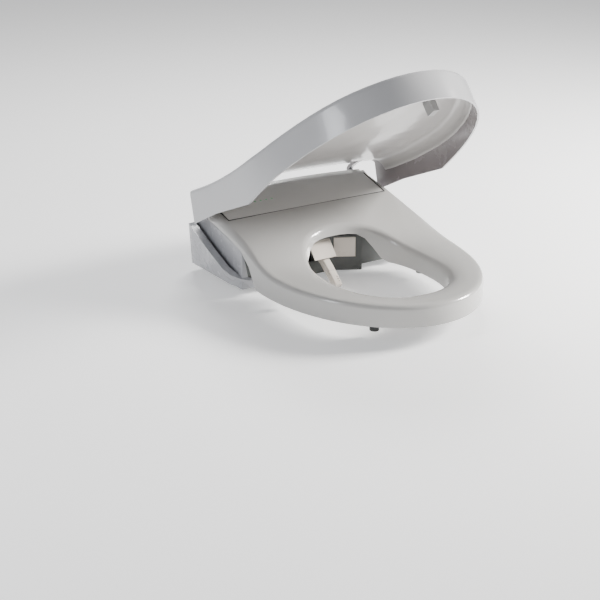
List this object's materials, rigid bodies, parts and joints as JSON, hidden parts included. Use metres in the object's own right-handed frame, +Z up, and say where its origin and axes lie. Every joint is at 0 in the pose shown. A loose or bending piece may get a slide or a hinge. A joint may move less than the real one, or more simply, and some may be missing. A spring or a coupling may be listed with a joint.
{
  "type": "electric bidet seat",
  "caption": "Electric bidet seat for a toilet bowl: hinged lid and heated seat on a sliding main unit, with an extending wash wand, a nozzle door and a dryer door",
  "frame": {"origin": "on the underside of the mounting plate, midway between the two mounting bolts", "axes": "+X to the right of someone facing the seat from its tip, +Y towards the tank behind it, +Z up; the seat's tip points to -Y"},
  "size_m": [0.402, 0.536, 0.4758],
  "materials": {
    "shell": "polished off-white moulding",
    "inner": "fine-textured grey moulding",
    "warm": "satin warm grey moulding",
    "rubber": "matte dark grey",
    "steel": "turned stainless",
    "brass": "machined brass",
    "board": "coated circuit board",
    "heater": "foil heating pad",
    "lens": "green translucent lamp lens"
  },
  "bodies": {
    "bracket": {"mounting_plate": "inner", "mounting_bolt_left": "steel", "mounting_bolt_right": "steel", "cone_washer_left": "rubber", "cone_washer_right": "rubber", "wing_nut_left": "steel", "wing_nut_right": "steel"},
    "unit": {"upper_case": "shell", "lower_case": "inner", "top_cover": "shell", "indicator_lens_1": "lens", "indicator_lens_2": "lens", "indicator_lens_3": "lens", "indicator_lens_4": "lens", "indicator_lens_5": "lens", "hinge_pin_left": "steel", "hinge_pin_right": "steel", "lid_damper": "inner", "seat_damper": "inner", "wand_guide": "inner", "wand_motor": "steel", "water_heater": "inner", "valve_block": "brass", "water_inlet": "steel", "cord_gland": "rubber", "drain_plug": "inner", "dryer_fan": "inner", "dryer_duct": "inner", "main_board": "board"},
    "seat": {"seat_top": "shell", "seat_bottom": "inner", "seat_heater": "heater", "seat_bumper_front_left": "rubber", "seat_bumper_front_right": "rubber", "seat_bumper_rear_left": "rubber", "seat_bumper_rear_right": "rubber"},
    "lid": {"lid_shell": "shell", "lid_inner_panel": "shell", "lid_bumper_left": "rubber", "lid_bumper_right": "rubber"},
    "wand": {"wand_body": "warm", "wand_tip": "warm"},
    "nozzle_flap": {"nozzle_door": "warm"},
    "dryer_flap": {"dryer_door": "warm"},
    "button": {"release_button": "inner"}
  },
  "joints": [
    {"name": "unit_slide", "type": "slide", "parent": "bracket", "child": "unit", "axis": [0, -1, 0], "range_m": [0, 0.06]},
    {"name": "seat_hinge", "type": "hinge", "parent": "unit", "child": "seat", "pos_m": [0, 0.036, 0.118], "axis": [-1, 0, 0], "range_deg": [0, 90]},
    {"name": "lid_hinge", "type": "hinge", "parent": "seat", "child": "lid", "pos_m": [0, 0.036, 0.118], "axis": [-1, 0, 0], "range_deg": [-40, 45]},
    {"name": "wand_swing", "type": "hinge", "parent": "unit", "child": "wand", "pos_m": [-0.017, 0.0636, -0.2532], "axis": [1, 0, 0], "range_deg": [-13.5, 0]},
    {"name": "nozzle_flap_hinge", "type": "hinge", "parent": "unit", "child": "nozzle_flap", "pos_m": [-0.0187, -0.1102, 0.0619], "axis": [-1, 0, 0], "range_deg": [0, 25]},
    {"name": "dryer_flap_hinge", "type": "hinge", "parent": "unit", "child": "dryer_flap", "pos_m": [0.02965, -0.12121, 0.0619], "axis": [-0.8829, 0.4695, 0], "range_deg": [0, 35]},
    {"name": "button_press", "type": "slide", "parent": "unit", "child": "button", "axis": [-1, 0, 0], "range_m": [0, 0.003], "stiffness_N_per_m": 300}
  ]
}
